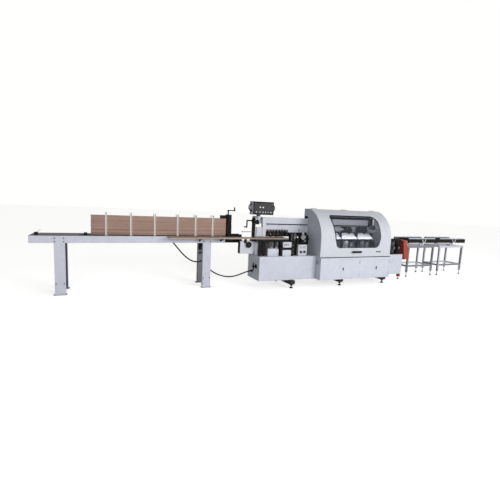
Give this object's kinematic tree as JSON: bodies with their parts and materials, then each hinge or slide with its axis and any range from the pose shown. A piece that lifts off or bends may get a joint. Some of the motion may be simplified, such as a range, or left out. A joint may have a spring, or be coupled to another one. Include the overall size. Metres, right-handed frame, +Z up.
{
  "type": "edge banding machine",
  "caption": "Automatic edge banding line: strip magazine with pusher, banding machine under a hinged hood, and outfeed support tables.",
  "frame": {"origin": "on the floor at the middle of the line's outline", "axes": "+X along the line in feed direction, +Y from the operator's side to the back, +Z up"},
  "size_m": [10.21, 1.131, 1.696],
  "materials": {
    "aluminium_extrusion": "anodised",
    "black_paint": "satin",
    "black_plastic": "moulded",
    "board_wood": "sanded",
    "dark_grey_paint": "satin",
    "dark_steel": "oiled",
    "light_grey_paint": "semi-gloss",
    "mid_grey_paint": "satin",
    "red_paint": "satin",
    "rubber": "matte",
    "steel": "brushed",
    "strip_wood": "sawn",
    "tinted_window": "smoked",
    "white_paint": "semi-gloss",
    "white_plastic": "moulded",
    "zinc": "zinc plated"
  },
  "bodies": {
    "line_frame": {"feeder_frame": "light_grey_paint", "feeder_legs": "light_grey_paint", "feeder_feet": "light_grey_paint", "feeder_bolts": "zinc", "feed_table": "dark_steel", "limit_switches": "black_plastic", "pusher_cylinder": "aluminium_extrusion", "magazine_posts": "white_paint", "strip_stack": "strip_wood", "gate_frame": "black_paint", "infeed_board": "board_wood", "board_supports": "dark_grey_paint", "feeder_cable": "rubber", "cable_glands": "black_plastic", "base_infeed": "light_grey_paint", "base_main": "light_grey_paint", "base_outfeed": "light_grey_paint", "foot_beams": "dark_grey_paint", "levelling_feet": "black_paint", "track_bed": "mid_grey_paint", "track_chain": "dark_steel", "drive_gearmotor": "mid_grey_paint", "beam_post": "black_paint", "control_arm": "mid_grey_paint", "infeed_unit": "light_grey_paint", "glue_unit": "mid_grey_paint", "regulator_box": "white_paint", "hood_shell": "mid_grey_paint", "trim_units": "mid_grey_paint", "buff_motors": "black_paint", "red_guard": "red_paint", "outfeed_frames": "light_grey_paint", "outfeed_rails": "black_paint"},
    "switch_whisker": {"switch_whisker": "steel"},
    "pusher": {"pusher": "dark_steel"},
    "holddown_weight": {"holddown_weight": "black_paint"},
    "gate_slide": {"gate_slide": "dark_steel"},
    "gate_crank": {"gate_crank": "black_paint"},
    "door_left": {"door_left": "light_grey_paint"},
    "door_right": {"door_right": "light_grey_paint"},
    "latch_left": {"latch_left": "black_plastic"},
    "latch_right": {"latch_right": "black_plastic"},
    "main_switch": {"main_switch": "black_plastic"},
    "pressure_beam": {"pressure_beam": "light_grey_paint"},
    "pressure_roller_1": {"pressure_roller_1": "rubber"},
    "pressure_roller_2": {"pressure_roller_2": "rubber"},
    "pressure_roller_3": {"pressure_roller_3": "rubber"},
    "height_crank": {"height_crank": "black_paint"},
    "control_box": {"control_box": "dark_grey_paint", "panel_lamps": "white_plastic"},
    "selector_1": {"selector_1": "white_plastic"},
    "selector_2": {"selector_2": "white_plastic"},
    "fence_handwheel": {"fence_handwheel": "black_plastic"},
    "valve_lever": {"valve_lever": "black_paint"},
    "band_roller": {"band_roller": "mid_grey_paint"},
    "regulator_knob_1": {"regulator_knob_1": "black_plastic"},
    "regulator_knob_2": {"regulator_knob_2": "black_plastic"},
    "hood_cover": {"hood_cover": "white_paint", "window_pane": "tinted_window", "window_trim": "rubber"}
  },
  "joints": [
    {"name": "whisker_bend", "type": "hinge", "parent": "line_frame", "child": "switch_whisker", "pos_m": [-5.005, 0.141, 1.03], "axis": [0, 1, 0], "range_deg": [-20, 20], "stiffness_Nm_per_rad": 0.08},
    {"name": "pusher_travel", "type": "slide", "parent": "line_frame", "child": "pusher", "axis": [1, 0, 0], "range_m": [-0.58, 2.2]},
    {"name": "weight_lift", "type": "slide", "parent": "line_frame", "child": "holddown_weight", "axis": [0, 0, 1], "range_m": [0, 0.07]},
    {"name": "gate_height", "type": "slide", "parent": "line_frame", "child": "gate_slide", "axis": [0, 0, 1], "range_m": [0, 0.03]},
    {"name": "gate_crank_turn", "type": "hinge", "parent": "line_frame", "child": "gate_crank", "pos_m": [-1.737, 0.175, 1.4], "axis": [0, 0, 1], "range_deg": [0, 2161]},
    {"name": "door_left_swing", "type": "hinge", "parent": "line_frame", "child": "door_left", "pos_m": [1.024, -0.567, 0.4], "axis": [0, 0, 1], "range_deg": [0, 105]},
    {"name": "door_right_swing", "type": "hinge", "parent": "line_frame", "child": "door_right", "pos_m": [1.844, -0.567, 0.4], "axis": [0, 0, 1], "range_deg": [0, 105]},
    {"name": "latch_left_turn", "type": "hinge", "parent": "door_left", "child": "latch_left", "pos_m": [0.59, -0.56, 0.385], "axis": [0, 1, 0], "range_deg": [0, 90]},
    {"name": "latch_right_turn", "type": "hinge", "parent": "door_right", "child": "latch_right", "pos_m": [1.48, -0.56, 0.385], "axis": [0, 1, 0], "range_deg": [0, 90]},
    {"name": "main_switch_turn", "type": "hinge", "parent": "line_frame", "child": "main_switch", "pos_m": [-1.315, -0.235, 0.435], "axis": [1, 0, 0], "range_deg": [0, 90]},
    {"name": "beam_height", "type": "slide", "parent": "line_frame", "child": "pressure_beam", "axis": [0, 0, 1], "range_m": [0, 0.04]},
    {"name": "height_crank_turn", "type": "hinge", "parent": "line_frame", "child": "height_crank", "pos_m": [-1.365, 0.055, 1.313], "axis": [1, 0, 0], "range_deg": [0, 2881]},
    {"name": "roller_1_spin", "type": "hinge", "parent": "pressure_beam", "child": "pressure_roller_1", "pos_m": [-0.965, 0.08, 1.035], "axis": [0, 1, 0], "continuous": true},
    {"name": "roller_2_spin", "type": "hinge", "parent": "pressure_beam", "child": "pressure_roller_2", "pos_m": [-0.83, 0.08, 1.035], "axis": [0, 1, 0], "continuous": true},
    {"name": "roller_3_spin", "type": "hinge", "parent": "pressure_beam", "child": "pressure_roller_3", "pos_m": [-0.695, 0.08, 1.035], "axis": [0, 1, 0], "continuous": true},
    {"name": "box_swivel", "type": "hinge", "parent": "line_frame", "child": "control_box", "pos_m": [-1.145, 0.03, 1.44], "axis": [0, 0, 1], "range_deg": [-40, 40]},
    {"name": "selector_1_turn", "type": "hinge", "parent": "control_box", "child": "selector_1", "pos_m": [-1.25518, -0.1, 1.4912], "axis": [0, 1, 0], "range_deg": [-45, 45]},
    {"name": "selector_2_turn", "type": "hinge", "parent": "control_box", "child": "selector_2", "pos_m": [-1.11152, -0.1, 1.4912], "axis": [0, 1, 0], "range_deg": [-45, 45]},
    {"name": "fence_wheel_turn", "type": "hinge", "parent": "line_frame", "child": "fence_handwheel", "pos_m": [-1.417, -0.184, 0.852], "axis": [0, 1, 0], "continuous": true},
    {"name": "valve_lever_swing", "type": "hinge", "parent": "line_frame", "child": "valve_lever", "pos_m": [-0.35, -0.246, 0.965], "axis": [0, 1, 0], "range_deg": [-25, 25]},
    {"name": "band_roller_spin", "type": "hinge", "parent": "line_frame", "child": "band_roller", "pos_m": [-0.236, -0.24, 1.012], "axis": [0, 1, 0], "continuous": true},
    {"name": "regulator_1_turn", "type": "hinge", "parent": "line_frame", "child": "regulator_knob_1", "pos_m": [-0.32, -0.32, 0.722], "axis": [0, 1, 0], "range_deg": [-150, 150]},
    {"name": "regulator_2_turn", "type": "hinge", "parent": "line_frame", "child": "regulator_knob_2", "pos_m": [-0.235, -0.32, 0.722], "axis": [0, 1, 0], "range_deg": [-150, 150]},
    {"name": "hood_swing", "type": "hinge", "parent": "line_frame", "child": "hood_cover", "pos_m": [0, 0.02, 1.609], "axis": [1, 0, 0], "range_deg": [-62, 0]}
  ],
  "couplings": [
    {"joint": "gate_crank_turn", "follows": "gate_height", "rad_per_m": 1256.6},
    {"joint": "height_crank_turn", "follows": "beam_height", "rad_per_m": 1256.6}
  ]
}
